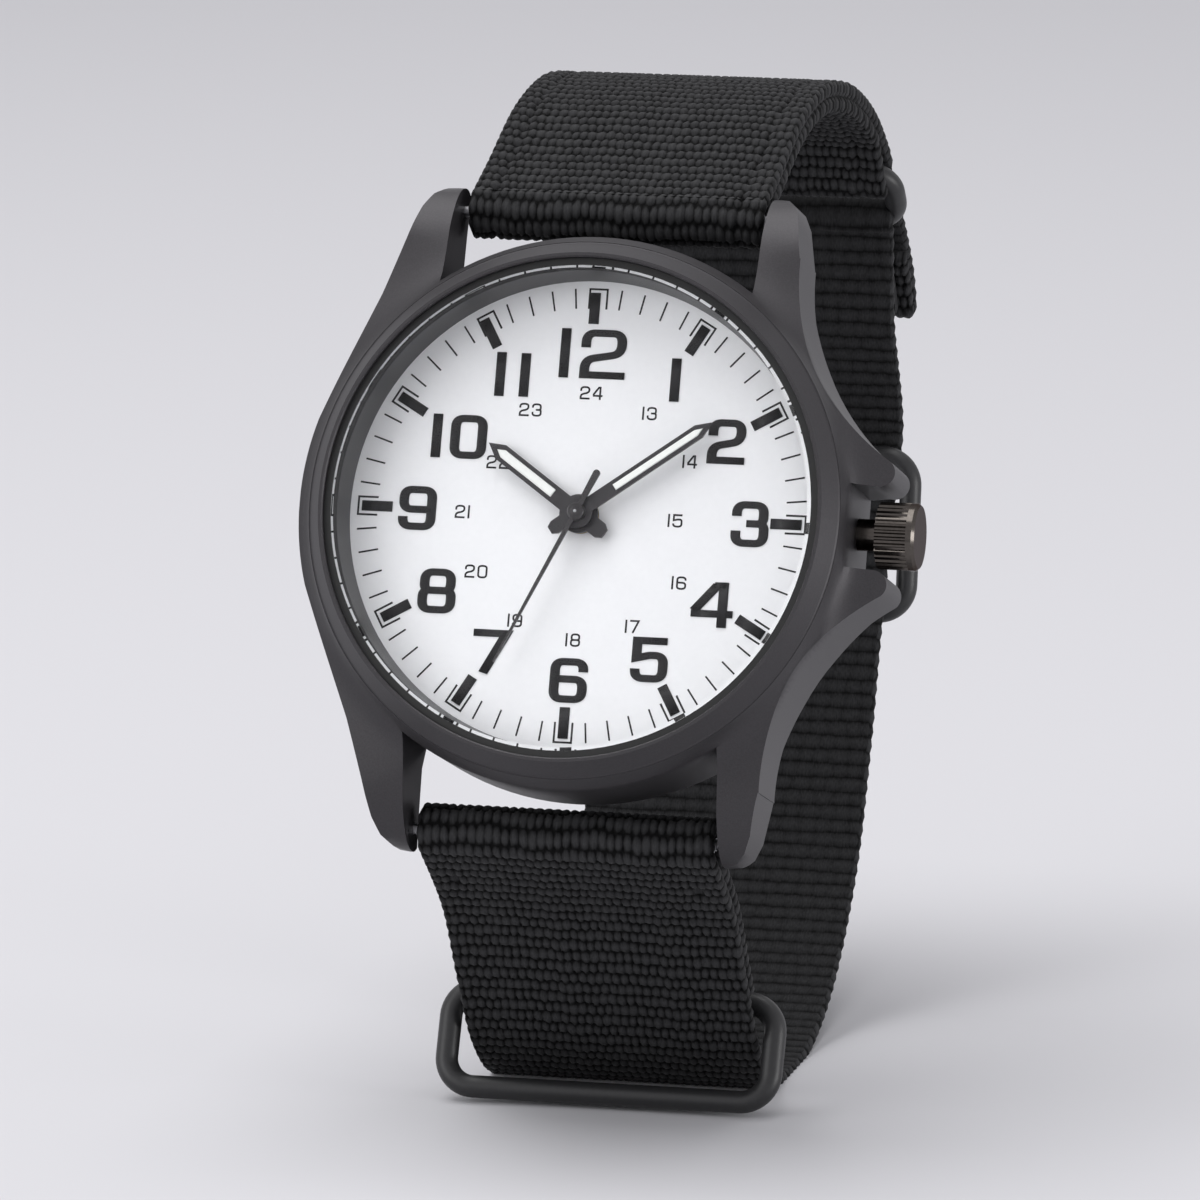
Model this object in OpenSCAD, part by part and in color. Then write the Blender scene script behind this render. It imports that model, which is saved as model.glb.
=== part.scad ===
// Analogue field watch with a fabric strap, standing on its closed strap.
// X runs to the crown at 3 o'clock, -Y is the side that the dial faces, Z is up.
// The origin is the middle of the flat patch on which the strap rests.

/* [Watch head] */
// Radius of the case at its waist, crown guards left out
case_r = 19.9; // [19.6:0.1:20.6]
// Radius of the case barrel between the lugs
barrel_r = 19.3; // [19:0.1:19.5]
// Distance between the inner faces of two lugs, a little more than the strap's width
lug_gap = 22.2; // [21.8:0.1:22.4]
// Reach of the lug tips from the dial's centre
lug_reach = 23.4; // [23.2:0.1:24]
// Distance of the spring bars from the dial's centre
bar_reach = 21.8; // [21.6:0.1:22]
// Depth of the spring bars below the dial
bar_depth = 3.9; // [3.6:0.1:4]
// Depth of the case's underside below the dial
case_depth = 5.6; // [5.4:0.1:6]
// Radius of the joint between the bezel and the case
bezel_r = 18.7; // [18.5:0.1:18.9]
// Height of the bezel's outer edge above the dial
bezel_low = 2.9; // [2.6:0.1:3.2]
// Height of the bezel's inner edge above the dial
bezel_top = 4.4; // [4.2:0.1:4.8]
// Radius of the flat glass
glass_r = 16.9; // [16.6:0.1:17]
// Thickness of the flat glass
glass_t = 1.6; // [1.4:0.1:1.7]
// Thickness of the case back's plate
back_t = 1.3; // [1:0.1:1.6]
// Backward lean of the standing watch, in degrees
lean = 20; // [16:1:24]

/* [Dial and hands] */
// Radius of the dial plate
dial_r = 16.9; // [16.6:0.1:17]
// Thickness of the dial plate
dial_t = 0.4; // [0.3:0.05:0.45]
// Inner radius of the sloping ring at the dial's edge
rehaut_r = 16.4; // [16:0.1:16.5]
// Length of the hour hand from the centre
hour_len = 8.2; // [7:0.1:9]
// Length of the minute hand from the centre
minute_len = 11.2; // [10:0.1:13]
// Length of the seconds hand from the centre
seconds_len = 11.8; // [10:0.1:14]
// Direction of the hour hand, clockwise from 12
hour_angle = 304.7; // [0:0.1:360]
// Direction of the minute hand, clockwise from 12
minute_angle = 53.5; // [0:0.1:360]
// Direction of the seconds hand, clockwise from 12
seconds_angle = 204.8; // [0:0.1:360]

/* [Crown] */
// Radius of the crown over its knurls
crown_r = 2.35; // [2:0.05:2.6]
// Number of knurls round the crown
crown_knurls = 30; // [20:1:36]
// Outer end of the crown from the dial's centre
crown_end = 23.3; // [23.2:0.1:23.8]
// Depth of the crown's axis below the dial
crown_depth = 2.5; // [2.4:0.05:2.6]
// How far the crown pulls out to set the hands
crown_pull = 1; // [0.6:0.1:1.2]
// Width of the notch between the crown guards
notch_w = 5.8; // [5.6:0.1:6]

/* [Strap] */
// Thickness of one layer of webbing
web_t = 1.15; // [1:0.05:1.2]
// Thickness of the hook pad and of the loop pad
pad_t = 0.9; // [0.7:0.05:1]
// Diameter of the wire of the three metal rings
wire_d = 1.6; // [1.4:0.1:1.7]
// Inner height of the closure ring
closure_h = 3.6; // [3.4:0.1:4]
// Inner height of the front keeper
front_h = 5.5; // [5.3:0.1:6]
// Inner height of the back keeper
back_h = 9.9; // [9:0.1:10.4]
// Radius of the spring bars' tubes
tube_r = 0.65; // [0.6:0.05:0.75]

/* [Hidden] */
$fn = 96;

black = [0.16, 0.155, 0.165];
nylon = [0.1, 0.1, 0.11];
steel = [0.72, 0.72, 0.74];
brass = [0.8, 0.65, 0.35];
gap = 0.05;   // running and seating clearance
slip = 0.02;  // clearance of pieces that sit still in one another
strap_w = lug_gap - 0.8;

// Place of the dial's centre over the resting patch
dial_back = 21.3;
dial_up = 43.8;

module on_watch() {
    translate([0, -dial_back, dial_up]) rotate([90 - lean, 0, 0]) children();
}

// A point of the dial's frame, given as reach towards 12 and height over the dial, seen from the side
function side_view(reach, height) = [
    reach * sin(lean) - height * cos(lean) - dial_back,
    reach * cos(lean) + height * sin(lean) + dial_up];

// A tube in the dial's frame: outer radius, bore, bottom and top
module tube(r, bore, low, high) {
    translate([0, 0, low]) difference() {
        cylinder(r = r, h = high - low);
        translate([0, 0, -1]) cylinder(r = bore, h = high - low + 2);
    }
}

// Case

seat_r = dial_r + 0.15;              // bore that holds the dial and the sloping ring
bezel_seat = 1.2;                    // height of the bezel's seat over the dial
glass_low = bezel_top - 0.2 - glass_t;
glass_bore = glass_r + 0.52;         // bore of the bezel round the glass and its gasket
holder_r = 15.9;
back_rim_r = 17.2;                   // bore for the case back's rim
back_rim_h = 1.2;
guard_r = 16.2;                      // radius of the hollow sweep from lug to crown guard
guard_centre = [30.2, 18.3];
guard_tip_r = 1;                      // rounding of a crown guard's tip
guard_tip_y = notch_w / 2 + guard_tip_r;
guard_tip = [guard_centre.x - sqrt(pow(guard_r + guard_tip_r - 0.01, 2) - pow(guard_centre.y - guard_tip_y, 2)),
    guard_tip_y];
notch_floor = 19;
lug_eye_r = 0.45;

// Upper half of the case's outline, from the crown guard round a lug's tip to 9 o'clock
lug_tip = [[2.3, -1.9], [1.8, -0.8], [1.1, -0.2], [0, 0]];
left_hollow = [[-14, 19.2], [-15.4, 14.9]];   // sweep from a lug into the left side
half_plan = concat([[guard_tip.x + guard_tip_r + 0.2, guard_centre.y - 1],
    [guard_centre.x - guard_r - 0.05, guard_centre.y + 0.3]],
    [for (p = lug_tip) [lug_gap / 2 + p.x, lug_reach + p.y]],
    [for (p = reversed(lug_tip)) [-lug_gap / 2 - p.x, lug_reach + p.y]],
    left_hollow, [for (a = steps(163, 178, 8)) polar(case_r, a)]);

module case_plan() {
    difference() {
        polygon(concat(half_plan, [for (p = reversed(half_plan)) [p.x, -p.y]]));
        for (side = [-1, 1]) scale([1, side]) {
            translate(guard_centre) circle(r = guard_r, $fn = 180);
            // what stands outside the rounded tip of each crown guard
            translate(guard_tip) difference() {
                polygon([[0, 0], (guard_centre - guard_tip) / 4, [4, 0], [4, -guard_tip_y], [0, -guard_tip_y]]);
                circle(r = guard_tip_r, $fn = 48);
            }
        }
    }
}

// Upper side of a lug and its tip, seen from the side of the case
lug_side = [[14.6, 3], [15.8, 1.75], [17, 1], [18.2, 0.6], [19.3, 0.32], [20.4, -0.06], [21.8, -0.95],
    [22.8, -2], [23.3, -3.2], [23.35, -4.4], [22.9, -5.3], [22.2, -5.6]];

// The case's top falls away from the bezel, and its underside is bevelled
case_top = [[bezel_r + gap, bezel_low], [18.98, 2.2], [19.4, 1.6], [20.1, 1.1], [21.2, 0.7], [23, 0.4], [27, 0.1]];
case_under = [[27, -5.4], [23, -4.9], [20.7, -4.75], [barrel_r, -case_depth]];

module case_body() {
    difference() {
        intersection() {
            translate([0, 0, -case_depth - 1]) linear_extrude(case_depth + 6) case_plan();
            rotate_extrude($fn = 180) polygon(concat([[0, bezel_low]], curve(case_top, steps(0, 6, 18)),
                case_under, [[0, -case_depth]]));
        }
        // what stands over the lugs' curved upper sides, outside the round barrel
        for (side = [-1, 1]) scale([1, side, 1]) difference() {
            rotate([90, 0, 90]) linear_extrude(40, center = true)
                polygon(concat([[14.6, 9]], curve(lug_side, steps(0, 11, 33)), [[22, -9], [30, -9], [30, 9]]));
            cylinder(r = barrel_r + 0.1, h = 30, center = true, $fn = 180);
        }
    }
}

module case_middle() {
    color(black) on_watch() difference() {
        case_body();
        // room for the strap's loops between the lugs
        for (side = [-1, 1]) {
            difference() {
                translate([-lug_gap / 2, side > 0 ? 8 : -8 - 20, -10]) cube([lug_gap, 20, 20]);
                cylinder(r = barrel_r, h = 40, center = true, $fn = 180);
            }
            translate([0, side * bar_reach, -bar_depth]) rotate([0, 90, 0]) {
                cylinder(r = strap_eye_r + 0.35, h = lug_gap, center = true);
                cylinder(r = lug_eye_r, h = lug_gap + 2.4, center = true, $fn = 32);
            }
        }
        // seats of the bezel, the dial, the movement and the case back
        translate([0, 0, bezel_seat]) cylinder(r = bezel_r + slip, h = 9, $fn = 180);
        translate([0, 0, -dial_t]) cylinder(r = seat_r, h = 9, $fn = 180);
        translate([0, 0, -case_depth - 1]) cylinder(r = holder_r + slip, h = 9);
        translate([0, 0, -case_depth - 1]) cylinder(r = back_rim_r, h = 1 + back_rim_h);
        // notch and bore of the crown
        translate([notch_floor, -notch_w / 2, -case_depth - 1]) cube([9, notch_w, 20]);
        translate([holder_r - 1, 0, -crown_depth]) rotate([0, 90, 0]) cylinder(r = crown_tube_r + slip, h = 9);
    }
}

module bezel() {
    color(black) on_watch() rotate_extrude($fn = 180) polygon([
        [seat_r + 0.1, bezel_seat + slip], [seat_r + 0.1, glass_low - gap], [glass_bore, glass_low - gap],
        [glass_bore, bezel_top - 0.1], [glass_bore + 0.1, bezel_top], [glass_bore + 0.3, bezel_top],
        [bezel_r - 0.1, bezel_low + 0.1], [bezel_r, bezel_low], [bezel_r, bezel_seat + slip]]);
}

module crystal() {
    color([0.85, 0.9, 0.92, 0.35]) on_watch() translate([0, 0, glass_low]) difference() {
        cylinder(r = glass_r, h = glass_t, $fn = 180);
        translate([0, 0, glass_t - 0.2]) difference() {
            cylinder(r = glass_r + 1, h = 1, $fn = 180);
            translate([0, 0, -0.01]) cylinder(r1 = glass_r, r2 = glass_r - 1, h = 1, $fn = 180);
        }
    }
}

module crystal_gasket() {
    color([0.05, 0.05, 0.05]) on_watch()
        tube(glass_bore - slip, glass_r + slip, glass_low, glass_low + glass_t - 0.25);
}

module rehaut() {
    color([0.1, 0.1, 0.11]) on_watch() rotate_extrude($fn = 180) polygon([
        [rehaut_r, slip], [seat_r - gap, slip], [seat_r - gap, glass_low - gap],
        [seat_r - 0.35, glass_low - gap]]);
}

module dial() {
    color([0.93, 0.94, 0.95]) on_watch()
        tube(dial_r, hour_tube_r + 0.35, -dial_t + slip, 0);
}

module case_back() {
    color(steel) on_watch() rotate_extrude($fn = 180) polygon([
        [0, -case_depth + 0.35], [back_rim_r - 1.4, -case_depth + 0.35],
        [back_rim_r - 1.4, -case_depth + 0.6], [back_rim_r - gap, -case_depth + 0.6],
        [back_rim_r - gap, -case_depth - slip], [back_rim_r + 0.9, -case_depth - slip],
        [back_rim_r + 0.9, -case_depth - 0.35], [back_rim_r - 0.4, -case_depth - back_t + 0.1],
        [back_rim_r - 1, -case_depth - back_t], [0, -case_depth - back_t]]);
}

module case_back_gasket() {
    color([0.05, 0.05, 0.05]) on_watch() translate([0, 0, -case_depth + back_rim_h - 0.3])
        rotate_extrude() translate([back_rim_r - 0.35, 0]) circle(r = 0.26, $fn = 24);
}

// Movement: motion work over the main plate, train under it

plate_r = 13;
plate_top = -1.4;
plate_low = -2;
bridge_top = -3.75;
bridge_low = -4.1;
pillars = [[-10.3, -5.2], [10.3, -6], [1.2, 10.8]];
minute_dir = 90;     // direction of the minute wheel from the centre
third_dir = 200;     // direction of the third wheel
fifth_dir = 330;     // direction of the fifth wheel and of the rotor beyond it
motion_mod = 0.2;    // tooth module, cannon pinion and minute wheel
cannon_teeth = 10;
minute_teeth = 30;
hour_leaves = 10;
hour_teeth = 40;
minute_post = motion_mod * (cannon_teeth + minute_teeth) / 2;
hour_mod = 2 * minute_post / (hour_leaves + hour_teeth);
train_mod = 0.11;    // tooth module, seconds pinion and third wheel
leaves = 8;
third_teeth = 60;
centre_teeth = 64;
third_post = train_mod * (leaves + third_teeth) / 2;
centre_mod = 2 * third_post / (leaves + centre_teeth);
step_mod = 0.13;     // tooth module, rotor to seconds wheel
seconds_teeth = 48;
fifth_teeth = 40;
fifth_post = step_mod * (leaves + seconds_teeth) / 2;
rotor_post = fifth_post + step_mod * (leaves + fifth_teeth) / 2;
arbor_r = 0.28;      // seconds arbor
cannon_r = 0.6;
hour_tube_r = 0.95;
pivot_r = 0.13;

function polar(distance, direction) = distance * [cos(direction), sin(direction)];

// Outline of a toothed wheel with a tooth on its own X axis
function teeth_points(count, size) = [
    for (i = [0 : count - 1], k = [[-0.27, -1.15], [-0.13, 0.85], [0.13, 0.85], [0.27, -1.15]])
        polar(size * (count / 2 + k[1]), 360 / count * (i + k[0]))];

// A toothed wheel with a tooth, or with a space, in a given direction
module toothed(count, size, low, high, facing, space = false) {
    translate([0, 0, low]) rotate(facing + (space ? 180 / count : 0))
        linear_extrude(high - low) polygon(teeth_points(count, size));
}

module at_post(distance, direction) {
    translate(concat(polar(distance, direction), 0)) children();
}

module movement_holder() {
    color([0.85, 0.85, 0.82]) on_watch() difference() {
        tube(holder_r, plate_r + gap, -case_depth + 0.6 + back_rim_h - 0.9, -dial_t - slip);
        translate([5, 0, -crown_depth]) rotate([0, 90, 0]) cylinder(r = crown_tube_r + gap, h = 20);
    }
}

module main_plate() {
    color(brass) on_watch() difference() {
        union() {
            translate([0, 0, plate_low]) cylinder(r = plate_r, h = plate_top - plate_low);
            at_post(minute_post, minute_dir)
                translate([0, 0, plate_top - 0.1]) cylinder(r = 0.3, h = 1, $fn = 24);
            for (p = pillars) translate([p.x, p.y, bridge_top + slip])
                cylinder(r = 1, h = plate_low - bridge_top, $fn = 32);
            tube(plate_r, plate_r - 1, plate_top - 0.1, -dial_t - slip);
        }
        cylinder(r = cannon_r + gap, h = 9, center = true, $fn = 32);
        // pocket for the clutch wheel and its way out
        translate([stem_end + 0.2, -0.95, plate_low - 1]) cube([2 + crown_pull, 1.9, 1.42]);
        for (p = [[third_post, third_dir], [fifth_post, fifth_dir], [rotor_post, fifth_dir]])
            at_post(p[0], p[1]) translate([0, 0, plate_low - 1])
                cylinder(r = pivot_r + 0.03, h = 1.4, $fn = 24);
    }
}

module train_bridge() {
    color(steel) on_watch() difference() {
        translate([0, 0, bridge_low]) linear_extrude(bridge_top - bridge_low) difference() {
            circle(r = plate_r - 0.3);
            translate(battery_place) circle(r = battery_r + 0.3);
            translate([-4.7, -9.4]) square([9.4, 2.4]);
            translate([-7.2, 7.6]) square([5, 8]);
        }
        for (p = [[0, 0], [third_post, third_dir], [fifth_post, fifth_dir], [rotor_post, fifth_dir]])
            at_post(p[0], p[1]) translate([0, 0, bridge_low + 0.1])
                cylinder(r = (p[0] == 0 ? arbor_r : pivot_r) + 0.03, h = 1, $fn = 24);
    }
}

module movement_screws() {
    color(steel) on_watch() for (p = pillars) translate([p.x, p.y, 0]) difference() {
        translate([0, 0, bridge_low - 0.3]) cylinder(r = 0.75, h = 0.3 - slip, $fn = 32);
        translate([-1, -0.12, bridge_low - 0.4]) cube([2, 0.24, 0.25]);
    }
}

battery_r = 3.4;
battery_place = [-5.2, 7.2];

module battery() {
    color(steel) on_watch() translate([battery_place.x, battery_place.y, 0]) {
        translate([0, 0, -4.05]) cylinder(r = battery_r, h = 1.8);
        translate([0, 0, -2.3]) cylinder(r = battery_r - 0.5, h = 0.28);
    }
}

rotor_place = polar(rotor_post, fifth_dir);
stator_low = -3.3;
stator_high = -3;
coil_y = -8.2;
coil_half = 4.5;

module stator() {
    color([0.55, 0.55, 0.58]) on_watch() translate([0, 0, stator_low])
        linear_extrude(stator_high - stator_low) difference() {
            union() {
                translate(rotor_place) circle(r = 1.7);
                translate([-7.4, coil_y - 0.8]) square([1.5, 4.1]);
                translate([-7.4, coil_y + 2]) square([rotor_place.x + 8.6, 1.3]);
                translate([rotor_place.x - 0.6, coil_y + 2]) square([1.2, rotor_place.y - coil_y - 3.4]);
                translate([rotor_place.x + 1.3, rotor_place.y - 0.6]) square([1.6, 1.2]);
                translate([5.9, coil_y - 0.8]) square([1.5, rotor_place.y - coil_y + 1.4]);
            }
            translate(rotor_place) circle(r = 1.15);
            translate([5.2, coil_y + 1.5]) square([0.7, 3]);
        }
}

module coil() {
    color([0.75, 0.42, 0.25]) on_watch() translate([0, coil_y, (stator_low + stator_high) / 2]) {
        rotate([0, 90, 0]) cylinder(r = 0.75, h = 2 * coil_half - 0.8, center = true);
        for (side = [-1, 1]) translate([side * (coil_half - 0.2), 0, 0])
            rotate([0, 90, 0]) cylinder(r = 0.95, h = 0.4, center = true);
        for (side = [-1, 1]) translate([side * (coil_half + 0.65), 0, 0])
            cube([1.3, 1.2, stator_high - stator_low], center = true);
    }
}

module circuit_board() {
    color([0.1, 0.35, 0.2]) on_watch() {
        translate([0, 0, plate_low - 0.27]) linear_extrude(0.25) intersection() {
            circle(r = plate_r - 0.5);
            translate([2.6, 4.8]) square([12, 7]);
        }
        translate([7, 5.2, plate_low - 0.9]) cube([2.4, 2.4, 0.65]);
    }
}

module quartz_can() {
    color(steel) on_watch() translate([3.4, 8.9, plate_low - 0.9]) rotate([0, 90, 0])
        cylinder(r = 0.6, h = 5.2, $fn = 32);
}

module rotor() {
    color([0.35, 0.35, 0.38]) on_watch() at_post(rotor_post, fifth_dir) {
        translate([0, 0, -3.3]) cylinder(r = 1, h = 0.9, $fn = 48);
        toothed(leaves, step_mod, -3.66, -3.25, fifth_dir + 180);
        translate([0, 0, bridge_top - 0.2]) cylinder(r = pivot_r, h = 2.1, $fn = 24);
    }
}

module fifth_wheel() {
    color(brass) on_watch() at_post(fifth_post, fifth_dir) {
        toothed(fifth_teeth, step_mod, -3.62, -3.44, fifth_dir, true);
        toothed(leaves, step_mod, -3.5, -3, fifth_dir + 180);
        translate([0, 0, bridge_top - 0.2]) cylinder(r = pivot_r, h = 2.1, $fn = 24);
    }
}

module seconds_wheel() {
    color(brass) on_watch() {
        toothed(seconds_teeth, step_mod, -3.22, -3.05, fifth_dir, true);
        toothed(leaves, train_mod, -3.1, -2.55, third_dir);
        translate([0, 0, bridge_top - 0.2]) cylinder(r = arbor_r, h = hand_levels[2] - bridge_top + 0.1, $fn = 32);
    }
}

module third_wheel() {
    color(brass) on_watch() at_post(third_post, third_dir) {
        toothed(third_teeth, train_mod, -2.86, -2.68, third_dir + 180, true);
        toothed(leaves, centre_mod, -2.75, -2.1, third_dir + 180);
        translate([0, 0, bridge_top - 0.2]) cylinder(r = pivot_r, h = 2.1, $fn = 24);
    }
}

module centre_wheel() {
    color(brass) on_watch() difference() {
        toothed(centre_teeth, centre_mod, -2.34, -2.14, third_dir, true);
        cylinder(r = cannon_r + slip, h = 9, center = true, $fn = 32);
    }
}

module cannon_pinion() {
    color(steel) on_watch() {
        tube(cannon_r, arbor_r + 0.04, -2.4, hand_levels[1]);
        difference() {
            toothed(cannon_teeth, motion_mod, -1.26, -0.95, minute_dir);
            cylinder(r = cannon_r - 0.1, h = 9, center = true, $fn = 32);
        }
    }
}

module minute_wheel() {
    color(brass) on_watch() at_post(minute_post, minute_dir) difference() {
        union() {
            toothed(minute_teeth, motion_mod, -1.26, -1.02, minute_dir + 180, true);
            toothed(hour_leaves, hour_mod, -1.1, -0.56, minute_dir + 180);
        }
        cylinder(r = 0.34, h = 9, center = true, $fn = 24);
    }
}

module hour_wheel() {
    color(brass) on_watch() difference() {
        union() {
            toothed(hour_teeth, hour_mod, -0.82, -0.58, minute_dir, true);
            translate([0, 0, -0.82]) cylinder(r = hour_tube_r, h = 0.82 + hand_levels[0], $fn = 48);
        }
        cylinder(r = cannon_r + 0.04, h = 9, center = true, $fn = 48);
    }
}

// Hands

hand_levels = [0.75, 1.25, 1.75];   // undersides of the hour, minute and seconds hands
hand_t = 0.25;

// A baton hand with a chamfered tail, a pointed tip and a pointed slot for the lume
module baton_hand(length, width, tail, slot_from, slot_w, hub_r, bore) {
    difference() {
        union() {
            linear_extrude(hand_t) difference() {
                polygon([[-width * 0.28, -tail], [width * 0.28, -tail], [width / 2, -tail + 0.4],
                    [width / 2, length - 1.1], [0, length], [-width / 2, length - 1.1],
                    [-width / 2, -tail + 0.4]]);
                polygon([[-slot_w / 2, slot_from], [slot_w / 2, slot_from], [slot_w / 2, length - 1.3],
                    [0, length - 0.6 - slot_w / 4], [-slot_w / 2, length - 1.3]]);
            }
            cylinder(r = hub_r, h = hand_t, $fn = 48);
        }
        translate([0, 0, -1]) cylinder(r = bore, h = 3, $fn = 48);
    }
}

module hour_hand() {
    color(black) on_watch() translate([0, 0, hand_levels[0] - hand_t]) rotate(-hour_angle)
        baton_hand(hour_len, 1.2, 2.35, 2.3, 0.62, 1.35, hour_tube_r + slip);
}

module minute_hand() {
    color(black) on_watch() translate([0, 0, hand_levels[1] - hand_t]) rotate(-minute_angle)
        baton_hand(minute_len, 1, 2.25, 3.1, 0.48, 1.1, cannon_r + slip);
}

module seconds_hand() {
    color(black) on_watch() translate([0, 0, hand_levels[2] - hand_t]) rotate(-seconds_angle) difference() {
        union() {
            linear_extrude(0.15) {
                polygon([[-0.25, -3], [0.25, -3], [0.17, 0], [0.07, seconds_len], [-0.07, seconds_len], [-0.17, 0]]);
                translate([0, -3]) circle(r = 0.25, $fn = 24);
            }
            cylinder(r = 0.6, h = hand_t, $fn = 48);
        }
        translate([0, 0, -1]) cylinder(r = arbor_r + slip, h = 1.17, $fn = 32);
    }
}

// Crown and stem

crown_tube_r = 1.1;
stem_r = 0.42;
crown_inner = crown_end - 2.8;
crown_rim = 0.6;         // width of the smooth rim at its outer end
tube_end = crown_end - 1.3;
tube_start = holder_r + 0.1;
stem_end = 6.6;
groove_at = 9.4;         // groove of the stem that the setting lever holds
groove_w = 0.6;

module on_crown_axis(from) {
    on_watch() translate([from, 0, -crown_depth]) rotate([0, 90, 0]) children();
}

module crown_tube() {
    color(steel) on_crown_axis(tube_start) difference() {
        cylinder(r = crown_tube_r, h = tube_end - tube_start, $fn = 48);
        translate([0, 0, -1]) cylinder(r = stem_r + gap, h = tube_end - tube_start + 2, $fn = 48);
    }
}

module crown() {
    color([0.3, 0.29, 0.29]) on_crown_axis(crown_inner) difference() {
        union() {
            linear_extrude(crown_end - crown_inner - crown_rim + 0.1) polygon([
                for (i = [0 : crown_knurls - 1], k = [[0, 0.03], [0.25, 0.03], [0.45, 0.17], [0.8, 0.17]])
                    polar(crown_r - k[1], (i + k[0]) * 360 / crown_knurls)]);
            translate([0, 0, crown_end - crown_inner - crown_rim]) cylinder(r = crown_r, h = crown_rim - 0.2);
            translate([0, 0, crown_end - crown_inner - 0.2]) cylinder(r1 = crown_r, r2 = crown_r - 0.2, h = 0.2);
        }
        translate([0, 0, -1]) cylinder(r = 1.5, h = 1 + tube_end + 0.2 - crown_inner, $fn = 48);
        cylinder(r = stem_r + slip, h = tube_end + 0.9 - crown_inner, $fn = 32);
    }
}

module crown_gasket() {
    color([0.05, 0.05, 0.05]) on_crown_axis(crown_inner + 0.05) difference() {
        cylinder(r = 1.5 - slip, h = 0.4, $fn = 48);
        translate([0, 0, -1]) cylinder(r = crown_tube_r + slip, h = 3, $fn = 48);
    }
}

module stem() {
    color(steel) on_crown_axis(stem_end) difference() {
        cylinder(r = stem_r, h = tube_end + 0.8 - stem_end, $fn = 32);
        translate([0, 0, groove_at - stem_end]) difference() {
            cylinder(r = 1, h = groove_w, $fn = 32);
            translate([0, 0, -1]) cylinder(r = stem_r - 0.17, h = 3, $fn = 32);
        }
    }
}

module clutch_wheel() {
    color(steel) on_crown_axis(stem_end + 0.4) difference() {
        linear_extrude(1.4) polygon(teeth_points(14, 0.1));
        translate([0, 0, -1]) cylinder(r = stem_r + slip, h = 3, $fn = 32);
    }
}

module setting_lever() {
    color(steel) on_watch() translate([groove_at + 0.08, 0, 0]) difference() {
        union() {
            translate([0, -0.8, -3.3]) cube([groove_w - 0.16, 1.6, 1.25]);
            translate([-0.6, 0.7, -3.3]) cube([1.6, 3.2, 0.3]);
        }
        translate([-1, -stem_r + 0.17 - gap, -crown_depth - stem_r + 0.17 - gap])
            cube([3, 2 * (stem_r - 0.17 + gap), 2]);
    }
}

// Spring bars

pin_travel = 0.9;
pin_tip_r = lug_eye_r - gap;
pin_body_r = tube_r - 0.2;
tube_half = lug_gap / 2 - 0.9;

module on_bar(side) {
    on_watch() translate([0, side * bar_reach, -bar_depth]) children();
}

module spring_bar_tubes() {
    color(steel) for (side = [-1, 1]) on_bar(side) rotate([0, 90, 0]) difference() {
        cylinder(r = tube_r, h = 2 * tube_half, center = true, $fn = 48);
        cylinder(r = pin_body_r + 0.04, h = 30, center = true, $fn = 48);
    }
}

module spring_bar_springs() {
    color(steel) for (side = [-1, 1]) on_bar(side) rotate([0, 90, 0]) difference() {
        cylinder(r = pin_body_r, h = 2 * (tube_half - 3 - pin_travel), center = true, $fn = 32);
        cylinder(r = pin_body_r - 0.2, h = 40, center = true, $fn = 32);
    }
}

// One pin: its body slides in the tube, its tip stands in the lug
module bar_pin(side, hand) {
    color(steel) on_bar(side) rotate([0, 90 * hand, 0]) {
        translate([0, 0, tube_half - 3]) cylinder(r = pin_body_r, h = 3.2, $fn = 32);
        translate([0, 0, tube_half]) cylinder(r = pin_tip_r, h = lug_gap / 2 + 0.85 - tube_half, $fn = 32);
    }
}

module upper_left_pin() { bar_pin(1, -1); }
module upper_right_pin() { bar_pin(1, 1); }
module lower_left_pin() { bar_pin(-1, -1); }
module lower_right_pin() { bar_pin(-1, 1); }

// Strap, drawn from the side: first number backwards, second number up

wire_r = wire_d / 2;
strap_eye_r = tube_r + gap + web_t;   // outer radius of a loop round a spring bar
ring_eye_r = wire_r + gap + web_t;    // outer radius of a loop round a ring's wire
upper_bar = side_view(bar_reach, -bar_depth);
lower_bar = side_view(-bar_reach, -bar_depth);
upper_out = [-0.35, 0.937];           // where the upper strap leaves the loop round its bar
lower_out = [-0.67, -0.742];          // where the lower strap leaves its loop
closure_out = [0.6, 0.8];             // where the upper strap meets the loop round the closure ring
tail_out = [0.85, 0.527];             // outward direction at the fold round the closure ring

// A point of the side view, measured from the dial's centre
function stand(back, up) = [back - dial_back, up + dial_up];

upper_end = stand(52.8, 18.2);
closure_high = upper_end - ring_eye_r * closure_out;
closure_low = closure_high + (closure_h + wire_d) * [0.628, -0.778];

// Outer face of the upper strap, from the spring bar to the closure ring
upper_points = [
    upper_bar + strap_eye_r * upper_out,
    stand(15, 22.4), stand(22.5, 25.1), stand(30.5, 26.1), stand(38, 25.2), stand(44, 23.4),
    stand(48.8, 21.1), upper_end];
// Outer face of the lower strap, from the spring bar round the bottom and up the back
lower_points = [
    lower_bar + strap_eye_r * lower_out,
    stand(1.2, -28.6), stand(5.2, -34.5), stand(9.5, -40.3), stand(15.5, -43.9), stand(24.5, -44.3),
    stand(34, -41.2), stand(42.2, -34.2), stand(47.2, -25.6), stand(50.4, -18.2), stand(53.9, -11.3),
    stand(57.6, -5.2), stand(57.8, -2), stand(56.1, 1.9), stand(54.6, 5.5),
    closure_low - (wire_r + gap) * tail_out];
// Outer face of the tail, from the closure ring to the tip
tail_points = [closure_low + ring_eye_r * tail_out, stand(59.2, 10.9), stand(61.4, 8.1), stand(62.5, 5.7)];
doubled_to = 2.2;                     // end of the front doubling, counted in lower_points
pad_from = 13.1;                      // ends of the loop pad, counted in lower_points
pad_to = 14.5;
tail_doubled = 1.1;                   // start of the tail's doubled end, counted in tail_points

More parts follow.
